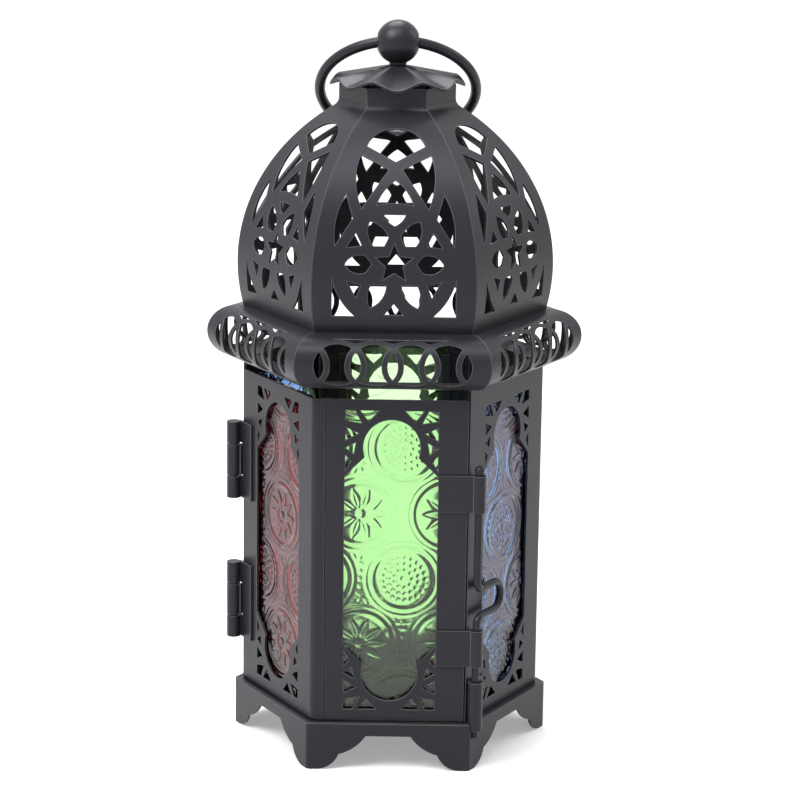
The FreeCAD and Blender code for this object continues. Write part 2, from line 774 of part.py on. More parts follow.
def rim(sector):
    body = new_body("rim_blank")
    section = new_sketch(body, "YZ_Plane", "rim_section")
    centre = "-" + RIM_CENTRE
    lip = "-(%s - sheet - rim_lip)" % WALL
    low = WALL_TOP
    high = RIM_TOP
    nose_z = "%s + rim_radius" % WALL_TOP
    outline(section, [
        (lip, low), (centre, low), ("%s - rim_radius" % centre, nose_z), (centre, high), (lip, high),
        (lip, high + " - sheet"), (centre, high + " - sheet"), ("%s - rim_radius + sheet" % centre, nose_z),
        (centre, low + " + sheet"), (lip, low + " + sheet"),
    ], right_arcs={1: "rim_radius", 2: "rim_radius"},
        left_arcs={6: "rim_radius - sheet", 7: "rim_radius - sheet"})
    pad(body, section, "2 * (%s + 2 * rim_radius)" % RIM_CENTRE, side="Symmetric")
    master = cut("rim_master", common("rim_mitred", body, sector), rim_piercing())
    copy_round(master, {"rim_" + side: turn for side, turn in SIDES.items()})


# fretwork of a gore: distance from its middle line and along its arc from the foot, right half only
# where the shape stands beside the middle line, drawn for a gore of this half width and length
GORE_DRAWN = (23.05, 68.0)
MIDDLE_SHAPES = [
    [(-8.5, 55.3), Via((0, 61.6)), (8.5, 55.3), (0, 50.1)],
    [(0, 44.4), Via((3.4, 40.9)), (5.3, 37.0), Via((0, 37.6)), (-5.3, 37.0), Via((-3.4, 40.9))],
    [(-3.1, 34.2), (3.1, 34.2), Via((1.9, 32.3)), (0, 31.0), Via((-1.9, 32.3))],
    [(0, 8.8), (2.7, 5.6), (-2.7, 5.6)],
]
SIDE_SHAPES = [
    [(10.2, 52.3), (2.0, 47.7), (9.7, 35.9), Via((11.4, 43.9))],
    [(14.2, 39.9), (12.2, 33.0), (17.2, 25.4), Via((16.9, 33.0))],
    [(7.2, 32.2), Via((7.7, 28.8)), (6.1, 25.3), (3.0, 25.3), (1.8, 27.7), Via((3.9, 30.7))],
    [(11.2, 28.9), (13.9, 24.8), (9.5, 25.4)],
    [(6.6, 20.2), (8.2, 22.3), Via((11.8, 22.3)), (14.3, 20.0), Via((11.6, 17.7)), (8.2, 17.9)],
    [(2.3, 14.2), (6.6, 14.2), Via((7.6, 11.2)), (7.0, 7.6), Via((3.9, 9.8))],
    [(9.7, 14.2), (13.6, 15.3), (11.0, 10.6)],
    [(17.9, 15.2), (18.0, 5.1), (11.4, 5.1), Via((15.4, 9.6))],
]
STAR_DRAWN = (20.3, 5.6, 2.5)


def star():
    centre, point, notch = STAR_DRAWN
    points = []
    for number in range(10):
        reach = notch if number % 2 else point
        angle = math.radians(36 * number)
        points.append((reach * math.sin(angle), centre + reach * math.cos(angle)))
    return points


def gore_piercing():
    radius = value("dome_radius")
    foot_angle = -math.asin(value("dome_axis_rise") / radius)
    neck_angle = math.asin(value("%s / %s" % (FILLET_RISE, FILLET_SPAN)))
    across = value(DOME_FOOT) / math.sqrt(3) / GORE_DRAWN[0]
    along = radius * (neck_angle - foot_angle) / GORE_DRAWN[1]
    shapes = MIDDLE_SHAPES + [star()]
    for shape in SIDE_SHAPES:
        shapes += [shape, mirrored(shape)]
    cutters = []
    for shape in shapes:
        stretched = [type(point)((point[0] * across, point[1] * along)) for point in shape]
        cutters.append(round_cutter(stretched, -value(AXIS_DEPTH), value(AXIS_Z), radius, foot_angle,
                                    4 * value("sheet")))
    return feature("gore_piercing", Part.makeCompound(cutters))


def dome(sector):
    body = new_body("gore_blank")
    section = new_sketch(body, "YZ_Plane", "gore_section")
    inside = "(dome_radius - sheet)"
    foot_inside = "-(sqrt({0} * {0} - dome_axis_rise * dome_axis_rise) - {1})".format(inside, AXIS_DEPTH)
    neck = "-neck_apothem"
    neck_inside = "-" + NECK_INSIDE

    def toward_fillet(radius):
        share = "%s / %s" % (radius, FILLET_SPAN)
        return ("%s - %s * %s" % (AXIS_DEPTH, share, FILLET_REACH),
                "%s + %s * %s" % (AXIS_Z, share, FILLET_RISE))

    outline(section, [
        ("-" + DOME_FOOT, RIM_TOP), toward_fillet("dome_radius"), (neck, NECK_FOOT), (neck, NECK_TOP),
        (neck_inside, NECK_TOP), (neck_inside, NECK_FOOT), toward_fillet(inside), (foot_inside, RIM_TOP),
    ], right_arcs={0: "dome_radius", 5: "neck_fillet + sheet"}, left_arcs={1: "neck_fillet", 6: inside})
    pad(body, section, "2 * %s" % RIM_CENTRE, side="Symmetric")
    master = cut("gore_master", common("gore_mitred", body, sector), gore_piercing())
    copy_round(master, {"dome_gore_" + side: turn for side, turn in SIDES.items()})


# Cap, bridge, finial and ring

def cap():
    # a fluted sheet between its hole and a waving rim, seated on the neck in the valleys
    flutes = int(value("cap_flutes"))
    hole = value(CAP_HOLE)
    top = value(CAP_TOP)
    valley_z = top - value("cap_rise")
    count = 2 * flutes
    points = []
    tangents = []
    for number in range(count):
        angle = 2 * math.pi * number / count
        ridge = number % 2
        reach = value("cap_radius") - ridge * value("cap_ridge_inset")
        lift = valley_z + ridge * value("cap_wave")
        points.append(Vector(reach * math.cos(angle), reach * math.sin(angle), lift))
        tangents.append(Vector(-math.sin(angle), math.cos(angle), 0) * (reach * 2 * math.pi / count))
    rim_curve = Part.BSplineCurve()
    rim_curve.interpolate(Points=points, Parameters=list(range(count + 1)), PeriodicFlag=True,
                          Tangents=tangents, TangentFlags=[True] * count, Scale=False)
    hole_edge = Part.Circle(Vector(0, 0, top), Vector(0, 0, 1), hole).toShape()
    sheet_face = Part.makeRuledSurface(hole_edge, rim_curve.toShape())
    finish(feature("cap_sheet", sheet_face.extrude(Vector(0, 0, -value("sheet")))), "cap")


def cap_bridge():
    body = new_body("bridge_strap")
    section = new_sketch(body, "YZ_Plane", "bridge_section")
    outer = "(%s - fit_gap)" % NECK_INSIDE
    inner = "(%s - fit_gap - bridge_sheet)" % NECK_INSIDE
    tab = "%s - bridge_tab" % BRIDGE_TOP
    under = "%s - bridge_sheet" % BRIDGE_TOP
    outline(section, [
        ("-" + outer, tab), ("-" + inner, tab), ("-" + inner, under), (inner, under),
        (inner, tab), (outer, tab), (outer, BRIDGE_TOP), ("-" + outer, BRIDGE_TOP),
    ])
    pad(body, section, "bridge_width", side="Symmetric")
    hole = cylinder("bridge_hole", ("0", "0", under), CAP_HOLE, "bridge_sheet")
    finish(cut("bridge_cut", body, hole), "cap_bridge")


STUD_FOOT = "(%s - bridge_sheet - nut_height - stud_end)" % BRIDGE_TOP


def finial():
    body = new_body("finial_turned")
    profile = new_sketch(body, "XZ_Plane", "finial_profile")
    ball_foot = "%s - sqrt(ball_radius * ball_radius - stem_radius * stem_radius)" % BALL_Z
    outline(profile, [
        ("0", STUD_FOOT), ("stud_radius", STUD_FOOT), ("stud_radius", CAP_TOP), ("stem_radius", CAP_TOP),
        ("stem_radius", ball_foot), ("0", "%s + ball_radius" % BALL_Z),
    ], left_arcs={4: "ball_radius"})
    revolve(body, profile)
    hole = cylinder("finial_hole", ("-2 * ball_radius", "0", BALL_Z), "ring_hole", "4 * ball_radius")
    hole.Placement.Rotation = Rotation(Vector(0, 1, 0), 90)
    finish(cut("finial_cut", body, hole), "finial")


def finial_nut():
    body = new_body("finial_nut")
    section = new_sketch(body, "XY_Plane", "nut_section", "%s - bridge_sheet - nut_height" % BRIDGE_TOP)
    outline(section, hexagon("(nut_flats / sqrt(3))"))
    circle(section, "0", "0", "stud_radius + fit_gap")
    pad(body, section, "nut_height")
    finish(body, "finial_nut")


def hanging_ring():
    # leans back until its wire lies just clear of the two hips of the back gore
    depth = value(AXIS_DEPTH)
    rise = value("%s - %s" % (BALL_Z, AXIS_Z))
    radius = value("ring_radius")
    arm = value("ring_radius - ring_seat")
    rest = value("dome_radius + ring_wire + ring_gap")
    upright, flat = 0, math.pi / 2
    while flat - upright > 1e-6:
        lean = (upright + flat) / 2
        spread = 1 + math.sin(lean) ** 2 / 3
        at_hip = (arm + math.sqrt(arm ** 2 - spread * (arm ** 2 - radius ** 2))) / spread
        if math.hypot(depth + at_hip * math.sin(lean), rise - at_hip * math.cos(lean)) < rest:
            upright = lean
        else:
            flat = lean
    ring = doc.addObject("Part::Torus", "ring_wire_body")
    bind(ring, Radius1="ring_radius", Radius2="ring_wire")
    centre = Vector(0, arm * math.sin(lean), value(BALL_Z) - arm * math.cos(lean))
    ring.Placement = Placement(centre, Rotation(Vector(1, 0, 0), math.degrees(lean) - 90))
    finish(ring, "hanging_ring")
    print("ring leans back %.2f degrees, ball centre at %.2f" % (math.degrees(lean), value(BALL_Z)))
    print("latch rod axis at %.3f, %.3f" % (value(LATCH_X), -value(LATCH_FRONT)))
    print("hinge axis at %.3f, 0" % (-2 * value(HINGE_X)))


# Building, checking and writing

base_skirt()
floor_plate()
candle_cup()
cup_rivet()
walls_and_door()
panes()
pane_holders()
hinges()
latch_strap("latch_strap_lower", "strap_low")
latch_strap("latch_strap_upper", "strap_high")
latch_keeper()
latch_rod()
side_sector = front_sector()
rim(side_sector)
dome(side_sector)
cap()
cap_bridge()
finial()
finial_nut()
hanging_ring()
doc.recompute()

for item in doc.Objects:
    if "Invalid" in item.State or "Error" in item.State:
        raise RuntimeError("%s did not build: %s" % (item.Label, item.State))
for item in subparts:
    if item.Shape.isNull() or not item.Shape.isValid() or not item.Shape.Solids:
        raise RuntimeError("%s has no sound solid" % item.Label)

os.makedirs("parts", exist_ok=True)
for item in subparts:
    item.Shape.exportStep("parts/%s.step" % item.Label)
    print("%-24s %d solids, %9.1f mm3" % (item.Label, len(item.Shape.Solids), item.Shape.Volume))
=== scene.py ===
import bpy
import json
import math
import numpy as np
from mathutils import Matrix, Quaternion, Vector


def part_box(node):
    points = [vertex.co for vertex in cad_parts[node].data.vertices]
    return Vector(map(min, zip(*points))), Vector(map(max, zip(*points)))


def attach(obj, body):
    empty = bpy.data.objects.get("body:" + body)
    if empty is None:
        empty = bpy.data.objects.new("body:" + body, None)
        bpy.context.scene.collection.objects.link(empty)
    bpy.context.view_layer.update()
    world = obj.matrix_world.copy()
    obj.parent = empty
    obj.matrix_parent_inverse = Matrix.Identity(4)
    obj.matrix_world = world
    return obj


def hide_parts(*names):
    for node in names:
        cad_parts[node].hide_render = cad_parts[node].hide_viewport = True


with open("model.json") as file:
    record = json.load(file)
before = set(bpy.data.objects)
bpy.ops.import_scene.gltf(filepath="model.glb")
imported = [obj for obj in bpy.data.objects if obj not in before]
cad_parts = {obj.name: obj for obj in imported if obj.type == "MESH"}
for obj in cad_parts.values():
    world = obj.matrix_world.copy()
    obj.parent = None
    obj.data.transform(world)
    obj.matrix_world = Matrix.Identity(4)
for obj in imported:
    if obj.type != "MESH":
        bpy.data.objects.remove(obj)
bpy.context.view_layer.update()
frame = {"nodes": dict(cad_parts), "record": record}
nodes = frame["nodes"]
bodyOf = {node: body for body, members in frame["record"]["behaviour"]["bodies"].items() for node in members}
slotOf = {item["node"]: item["material_slot"] for item in frame["record"]["subparts"]}
mm = 0.001
print("frame loaded,", len(nodes), "nodes")


def takeUp(piece):  # the one object that the next operators act on
    bpy.ops.object.select_all(action="DESELECT")
    piece.select_set(True)
    bpy.context.view_layer.objects.active = piece


def settle(piece, body, node):
    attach(piece, body)
    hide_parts(node)


# materials

def newGroup(name, inputs, outputs):
    group = bpy.data.node_groups.new(name, "ShaderNodeTree")
    for socket, kind, value in inputs:
        made = group.interface.new_socket(name=socket, in_out="INPUT", socket_type=kind)
        made.default_value = value
    for socket, kind in outputs:
        group.interface.new_socket(name=socket, in_out="OUTPUT", socket_type=kind)
    return group


def addNode(tree, kind, x, y, **settings):
    node = tree.nodes.new(kind)
    node.location = (x, y)
    for name, value in settings.items():
        setattr(node, name, value)
    return node


def noiseOn(tree, coords, scale, detail, x, y):
    noise = addNode(tree, "ShaderNodeTexNoise", x, y)
    noise.inputs["Scale"].default_value = scale
    noise.inputs["Detail"].default_value = detail
    tree.links.new(coords, noise.inputs["Vector"])
    return noise.outputs["Fac"]


def mathOn(tree, operation, first, second, x, y, clamp=False):
    node = addNode(tree, "ShaderNodeMath", x, y, operation=operation, use_clamp=clamp)
    for socket, value in zip(node.inputs, (first, second)):
        if isinstance(value, (int, float)):
            socket.default_value = value
        else:
            tree.links.new(value, socket)
    return node.outputs[0]


powderCoat = {
    "black": (0.0155, 0.0155, 0.0190, 1),
    "highlightTone": (0.150, 0.146, 0.150, 1),  # painted highlight: a lighter tone that stands for light caught on the rounded cut edges
    "peelPerMetre": 760,
    "grainPerMetre": 2900,
    "ripplePerMetre": 26,
    "shadePerMetre": 90,
    "shadeRange": (0.86, 1.14),
    "highlightGrain": (0.8, 0.5),  # share of the grain in the painted edge highlight, and the highlight without it
    "mottle": (0.10, 0.12, 0.11),  # roughness from the peel, from the shade, and half of both
    "peelHeight": 0.22,
    "grainHeight": 0.05,
    "roughness": 0.34,
    "gloss": 0.22,
    "sheen": (0.88, 0.88, 1.0, 1),
    "bump": 0.00010,
}


def buildCoatSkin():
    group = newGroup(
        "coatSkin",
        [("Black", "NodeSocketColor", powderCoat["black"]), ("HighlightTone", "NodeSocketColor", powderCoat["highlightTone"]),
         ("HighlightAmount", "NodeSocketFloat", 0.6), ("Ripple", "NodeSocketFloat", 1.0)],
        [("Color", "NodeSocketColor"), ("Roughness", "NodeSocketFloat"), ("Height", "NodeSocketFloat")])
    given = addNode(group, "NodeGroupInput", -1200, 0)
    result = addNode(group, "NodeGroupOutput", 700, 0)
    coords = addNode(group, "ShaderNodeTexCoord", -1200, -300).outputs["Object"]
    peel = noiseOn(group, coords, powderCoat["peelPerMetre"], 1.5, -900, 100)
    grain = noiseOn(group, coords, powderCoat["grainPerMetre"], 2.0, -900, -150)
    ripple = noiseOn(group, coords, powderCoat["ripplePerMetre"], 1.0, -900, -400)
    shade = noiseOn(group, coords, powderCoat["shadePerMetre"], 3.0, -900, -650)
    # painted edge highlight: the lighter tone is mixed into the coat by the given amount, broken up by the
    # grain
    broken = mathOn(group, "MULTIPLY_ADD", grain, powderCoat["highlightGrain"][0], -650, 200)
    broken.node.inputs[2].default_value = powderCoat["highlightGrain"][1]
    highlightMask = mathOn(group, "MULTIPLY", broken, given.outputs["HighlightAmount"], -200, 380, clamp=True)
    tone = addNode(group, "ShaderNodeMix", 40, 320, data_type="RGBA")
    group.links.new(highlightMask, tone.inputs["Factor"])
    group.links.new(given.outputs["Black"], tone.inputs["A"])
    group.links.new(given.outputs["HighlightTone"], tone.inputs["B"])
    cloud = addNode(group, "ShaderNodeMapRange", -420, -600)
    cloud.inputs["To Min"].default_value = powderCoat["shadeRange"][0]
    cloud.inputs["To Max"].default_value = powderCoat["shadeRange"][1]
    group.links.new(shade, cloud.inputs["Value"])
    clouded = addNode(group, "ShaderNodeVectorMath", 260, 300, operation="SCALE")
    group.links.new(tone.outputs["Result"], clouded.inputs[0])
    group.links.new(cloud.outputs["Result"], clouded.inputs["Scale"])
    group.links.new(clouded.outputs[0], result.inputs["Color"])
    peelRough, shadeRough, halfBoth = powderCoat["mottle"]
    mottle = mathOn(group, "MULTIPLY_ADD", peel, peelRough, -420, 60)
    mottle.node.inputs[2].default_value = powderCoat["roughness"] - halfBoth
    rough = mathOn(group, "MULTIPLY_ADD", shade, shadeRough, -200, 60)
    group.links.new(mottle, rough.node.inputs[2])
    group.links.new(rough, result.inputs["Roughness"])
    fine = mathOn(group, "MULTIPLY_ADD", peel, powderCoat["peelHeight"], -420, -150)
    grained = mathOn(group, "MULTIPLY", grain, powderCoat["grainHeight"], -650, -150)
    group.links.new(grained, fine.node.inputs[2])
    waved = mathOn(group, "MULTIPLY", ripple, given.outputs["Ripple"], -420, -380)
    group.links.new(mathOn(group, "ADD", fine, waved, -200, -250), result.inputs["Height"])
    return group


def newMaterial(name):
    material = bpy.data.materials.new(name)
    material.use_nodes = True
    tree = material.node_tree
    return material, tree, tree.nodes["Principled BSDF"]


def addBump(tree, shader, height, distance):
    bump = addNode(tree, "ShaderNodeBump", -250, -250)
    bump.inputs["Strength"].default_value = 1
    bump.inputs["Distance"].default_value = distance
    tree.links.new(height, bump.inputs["Height"])
    tree.links.new(bump.outputs["Normal"], shader.inputs["Normal"])


def buildCoat(name, skin, highlightAmount, ripple):
    material, tree, shader = newMaterial(name)
    skinned = addNode(tree, "ShaderNodeGroup", -550, 100, node_tree=skin)
    skinned.inputs["HighlightAmount"].default_value = highlightAmount
    skinned.inputs["Ripple"].default_value = ripple
    tree.links.new(skinned.outputs["Color"], shader.inputs["Base Color"])
    tree.links.new(skinned.outputs["Roughness"], shader.inputs["Roughness"])
    shader.inputs["Specular IOR Level"].default_value = powderCoat["gloss"]
    shader.inputs["Specular Tint"].default_value = powderCoat["sheen"]
    addBump(tree, shader, skinned.outputs["Height"], powderCoat["bump"])
    return material


pressedGlass = {
    "tints": {"glass_green": (0.545, 0.775, 0.46, 1), "glass_red": (0.30, 0.025, 0.03, 1),
              "glass_blue": (0.14, 0.27, 0.56, 1)},
    "wavesPerMetre": 110,
    "seedsPerMetre": 520,
    "seedHeight": 0.12,
    "ior": 1.5,
    "bump": 0.00007,
    "roughness": 0.10,
}


def buildGlassWaver():
    group = newGroup("glassWaver", [("Waves", "NodeSocketFloat", 1.0)], [("Height", "NodeSocketFloat")])
    given = addNode(group, "NodeGroupInput", -900, 0)
    result = addNode(group, "NodeGroupOutput", 300, 0)
    coords = addNode(group, "ShaderNodeTexCoord", -900, -250).outputs["Object"]
    waves = noiseOn(group, coords, pressedGlass["wavesPerMetre"], 1.0, -600, 100)
    seeds = noiseOn(group, coords, pressedGlass["seedsPerMetre"], 1.0, -600, -150)
    rolled = mathOn(group, "MULTIPLY", waves, given.outputs["Waves"], -300, 100)
    mixed = mathOn(group, "MULTIPLY_ADD", seeds, pressedGlass["seedHeight"], -100, 0)
    group.links.new(rolled, mixed.node.inputs[2])
    group.links.new(mixed, result.inputs["Height"])
    return group


def buildGlass(name, waver):
    material, tree, shader = newMaterial(name)
    shader.inputs["Base Color"].default_value = pressedGlass["tints"][name]
    shader.inputs["Transmission Weight"].default_value = 1
    shader.inputs["Roughness"].default_value = pressedGlass["roughness"]
    shader.inputs["IOR"].default_value = pressedGlass["ior"]
    waved = addNode(tree, "ShaderNodeGroup", -550, -250, node_tree=waver)
    addBump(tree, shader, waved.outputs["Height"], pressedGlass["bump"])
    return material


skin = buildCoatSkin()
sheetCoat = buildCoat("blackSheetCoat", skin, highlightAmount=0.0, ripple=1.0)
# the rounded edges get the coat with the painted highlight, the other coats get none
edgeHighlightCoat = buildCoat("blackCoatEdgeHighlight", skin, highlightAmount=0.5, ripple=1.0)
wireCoat = buildCoat("blackWireCoat", skin, highlightAmount=0.0, ripple=0.0)
waver = buildGlassWaver()
glasses = {name: buildGlass(name, waver) for name in pressedGlass["tints"]}
print("materials ready")


# sheet metal: each CAD sheet copied, merged, and its cut edges rounded as a coated edge is

coatedEdges = {
    "sheet": 0.17, "fitting": 0.14, "turned": 0.10, "merge": 0.001,  # mm
    "sharp": 34, "flat": 0.4,  # degrees
    "segments": 2, "faceWeight": 80,
}
wireNodes = {"latch_rod", "hanging_ring", "finial"}
fittings = ("hinge", "latch", "finial_nut", "cup_rivet")
sideTurns = {"front": 0, "right": 60, "back_right": 120, "back": 180, "back_left": 240, "left": 300}
rolledSheets = {  # mm: axis of the front sheet's roll, outwards and up, its radius, rolled length and slices
    "dome_gore_": {"axisOut": -16.881, "axisUp": 147.0, "radius": 58.4, "arc": (-12.8, 55.6), "slice": 1.5},
    "rim_": {"axisOut": 41.537, "axisUp": 125.5, "radius": 8.0, "arc": (-12.3, 12.3), "slice": 0.5},
}


def readMesh(values, name, size):
    found = np.zeros(len(values) * size)
    values.foreach_get(name, found)
    return found.reshape(-1, size)


def unrollSheet(piece, roll):  # the front sheet laid flat: across, along its arc, through its thickness
    x, y, z = readMesh(piece.data.vertices, "co", 3).T
    out = -y - roll["axisOut"]
    up = z - roll["axisUp"]
    flat = np.stack([x, np.arctan2(up, out) * roll["radius"], np.hypot(out, up) - roll["radius"]], axis=1)
    piece.data.vertices.foreach_set("co", flat.ravel())
    piece.data.update()


def rollSheet(piece, roll):  # slices the flat sheet, then rolls it and its normals back
    mesh = piece.data
    kept = mesh.attributes.new("flatNormal", "FLOAT_VECTOR", "CORNER")
    kept.data.foreach_set("vector", readMesh(mesh.corner_normals, "vector", 3).ravel())
    takeUp(piece)
    bpy.ops.object.mode_set(mode="EDIT")
    for level in np.arange(roll["arc"][0], roll["arc"][1], roll["slice"]):
        bpy.ops.mesh.select_all(action="SELECT")
        bpy.ops.mesh.bisect(plane_co=(0, level, 0), plane_no=(0, 1, 0))
    bpy.ops.object.mode_set(mode="OBJECT")
    x, arc, through = readMesh(mesh.vertices, "co", 3).T
    corners = readMesh(mesh.loops, "vertex_index", 1).astype(int).ravel()
    across, along, outward = readMesh(mesh.attributes["flatNormal"].data, "vector", 3).T
    mesh.attributes.remove(mesh.attributes["flatNormal"])
    angle = arc / roll["radius"]
    reach = roll["radius"] + through
    out = roll["axisOut"] + reach * np.cos(angle)
    up = roll["axisUp"] + reach * np.sin(angle)
    places = np.stack([x, -out, up], axis=1)
    mesh.vertices.foreach_set("co", places.ravel())
    mesh.update()
    angle = angle[corners]
    turned = np.stack([across, along * np.sin(angle) - outward * np.cos(angle),
                       along * np.cos(angle) + outward * np.sin(angle)], axis=1)
    mesh.normals_split_custom_set(turned / np.linalg.norm(turned, axis=1)[:, None])


def roundEdges(piece, width):
    takeUp(piece)
    bpy.ops.object.mode_set(mode="EDIT")
    bpy.ops.mesh.select_all(action="SELECT")
    bpy.ops.mesh.remove_doubles(threshold=coatedEdges["merge"])
    bpy.ops.mesh.dissolve_limited(angle_limit=math.radians(coatedEdges["flat"]))
    bpy.ops.object.mode_set(mode="OBJECT")
    bpy.ops.object.shade_smooth()
    bpy.ops.object.modifier_add(type="BEVEL")
    bevel = piece.modifiers[-1]
    bevel.width = width
    bevel.segments = coatedEdges["segments"]
    bevel.limit_method = "ANGLE"
    bevel.angle_limit = math.radians(coatedEdges["sharp"])
    bevel.use_clamp_overlap = False
    # the rounds take the second slot, the coat with the painted edge highlight
    bevel.material = 1
    bpy.ops.object.modifier_apply(modifier=bevel.name)
    bpy.ops.object.modifier_add(type="WEIGHTED_NORMAL")  # flat faces keep flat shading, the rounds blend
    weighted = piece.modifiers[-1]
    weighted.mode = "FACE_AREA"
    weighted.weight = coatedEdges["faceWeight"]
    bpy.ops.object.modifier_apply(modifier=weighted.name)


def copyCoated(node, mesh):
    piece = bpy.data.objects.new(node + "_coated", mesh.copy())
    bpy.context.scene.collection.objects.link(piece)
    return piece


def takeSheet(node):  # a CAD sheet in mm, with the coat, and for its rounded edges the coat with the painted highlight
    piece = copyCoated(node, nodes[node].data)
    piece.data.materials.clear()
    piece.data.materials.append(wireCoat if node in wireNodes else sheetCoat)
    piece.data.materials.append(edgeHighlightCoat)
    piece.data.transform(Matrix.Scale(1 / mm, 4))
    return piece


def coatNode(node):
    piece = takeSheet(node)
    if node in wireNodes:
        width = coatedEdges["turned"]
    elif node.startswith(fittings):
        width = coatedEdges["fitting"]
    else:
        width = coatedEdges["sheet"]
    roundEdges(piece, width)
    piece.data.transform(Matrix.Scale(mm, 4))
    settle(piece, bodyOf[node], node)


def coatRolled(family, roll):  # the front sheet once, then turned to the other five sides
    front = takeSheet(family + "front")
    unrollSheet(front, roll)
    roundEdges(front, coatedEdges["sheet"])
    rollSheet(front, roll)
    front.data.transform(Matrix.Scale(mm, 4))
    for side, turn in sideTurns.items():
        node = family + side
        piece = copyCoated(node, front.data) if turn else front
        piece.data.transform(Matrix.Rotation(math.radians(turn), 4, "Z"))
        settle(piece, bodyOf[node], node)


for node in sorted(nodes):
    if slotOf[node] == "black_coat" and not node.startswith(tuple(rolledSheets)):
        coatNode(node)
for family, roll in rolledSheets.items():
    coatRolled(family, roll)
print("metal coated")


# pressed glass: a fine grid raised into staggered roundels, daisies and dotted ones by turns

patternShift = {  # mm from the middle of the pane to a daisy's middle
    "front": (-9.0, -26.0), "right": (-12.0, -15.0), "back_right": (3.0, 10.0),
    "back": (8.0, 2.0), "back_left": (-4.0, -9.0), "left": (0.5, 8.0),
}
relief = {
    "cell": 0.25, "depth": 0.5, "fade": 1.2, "edge": 0.3, "crease": 50,  # mm, and degrees for the crease
    "across": 26.0, "repeat": 40.0,
    "ridge": (0.32, 0.80), "ridgeAt": 9.4,  # height and half width, then its radius
    "hairline": (0.16, 0.55), "hairlineAt": 11.3,
    "dotRows": (2.7, 4.6, 6.5), "dotRadius": 0.66, "dotHeight": 0.19, "dotStep": 1.95,
    "petals": 10, "petalReach": (1.9, 8.0), "petalHalf": 1.3, "petalHeight": 0.36, "petalTaper": 0.7,
    "groove": (0.45, 0.35), "bossRadius": 1.4,
    "fringe": (12.2, 15.4), "fringeStrokes": 36, "fringeStroke": (0.14, 0.7),
}


def ridge(distance, shape):
    height, half = shape
    return height * np.exp(-(distance / half) ** 2)


def toNearest(places, step):
    return places - step * np.round(places / step)


def fromSpoke(r, turn, count):  # distance to the nearest of evenly spread spokes
    return toNearest(turn, 2 * math.pi / count) * r


def dottedRing(r, turn):
    height = relief["dotHeight"] * np.sqrt(np.clip(1 - r ** 2, 0, 1))
    for number, radius in enumerate(relief["dotRows"]):
        count = round(2 * math.pi * radius / relief["dotStep"])
        along = fromSpoke(radius, turn + number * math.pi / count, count)
        away = np.hypot(along, r - radius) / relief["dotRadius"]
        height = np.maximum(height, relief["dotHeight"] * np.sqrt(np.clip(1 - away ** 2, 0, 1)))
    return height


def daisy(r, turn):
    across = fromSpoke(r, turn, relief["petals"])
    start, end = relief["petalReach"]
    along = np.clip((r - start) / (end - start), 0, 1)
    half = relief["petalHalf"] * np.sin(math.pi * along ** relief["petalTaper"]) + 0.01  # kept above zero
    body = np.clip(1 - (across / half) ** 2, 0, 1)
    groove = 1 - ridge(across, relief["groove"])
    petal = relief["petalHeight"] * np.sqrt(body) * groove * (r > start) * (r < end)
    boss = relief["petalHeight"] * np.sqrt(np.clip(1 - (r / relief["bossRadius"]) ** 2, 0, 1))
    return np.maximum(petal, boss)


def fringe(r, turn):
    start, end = relief["fringe"]
    along = np.clip((r - start) / (end - start), 0, 1)
    strokes = ridge(fromSpoke(r, turn, relief["fringeStrokes"]), relief["fringeStroke"])
    return strokes * np.sin(math.pi * along)


def pressedHeight(x, w):  # x across and w up from a daisy's middle, in mm
    across = relief["across"]
    repeat = relief["repeat"]
    flower = toNearest(x, across) + 1j * toNearest(w, repeat)
    dotted = toNearest(x - across / 2, across) + 1j * toNearest(w - repeat / 2, repeat)
    nearFlower = np.abs(flower) < np.abs(dotted)
    place = np.where(nearFlower, flower, dotted)
    r = np.abs(place)
    turn = np.angle(place)
    ring = ridge(r - relief["ridgeAt"], relief["ridge"])
    hairline = ridge(r - relief["hairlineAt"], relief["hairline"])
    lines = np.maximum(ring, hairline)
    middle = np.where(nearFlower, daisy(r, turn), dottedRing(r, turn))
    return np.maximum(np.maximum(lines, middle), fringe(r, turn))


